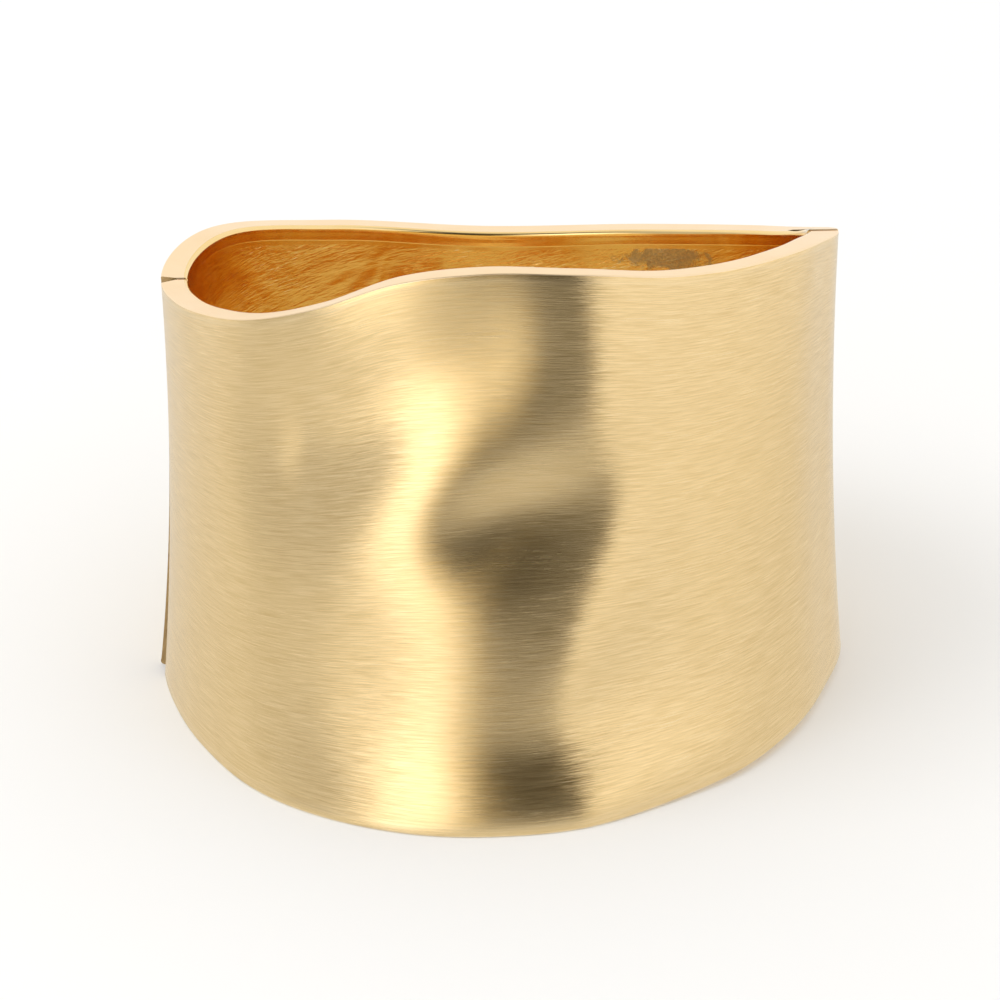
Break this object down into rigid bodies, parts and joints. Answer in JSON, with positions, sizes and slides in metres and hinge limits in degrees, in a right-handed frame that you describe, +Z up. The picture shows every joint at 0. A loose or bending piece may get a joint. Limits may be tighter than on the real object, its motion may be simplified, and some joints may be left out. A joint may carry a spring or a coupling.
{
  "type": "hinged wide bangle",
  "caption": "Wide brushed gold bangle with a tall sculpted front and a low back, hinged on one side and closed by a hidden tongue on the other.",
  "frame": {"origin": "centre of the bangle's box in plan, on the plane that its lower rim rests on", "axes": "+Z up from the surface that the bangle rests on, -Y towards the tall front plate, -X towards the hinge and +X towards the clasp; the wall leans back towards +Y by ten degrees"},
  "size_m": [0.0677, 0.0644, 0.0548],
  "materials": {
    "brushed_gold": "brushed gold plating outside, polished and cast-rippled inside",
    "polished_gold": "polished gold plating"
  },
  "bodies": {
    "front": {"front_half": "brushed_gold", "hinge_pin": "polished_gold", "clasp_tongue": "polished_gold"},
    "back": {"back_half": "brushed_gold"}
  },
  "joints": [
    {"name": "opening", "type": "hinge", "parent": "front", "child": "back", "pos_m": [-0.03138, 0.0002, 0], "axis": [0, 0.1736, 0.9848], "range_deg": [0, 50]}
  ]
}
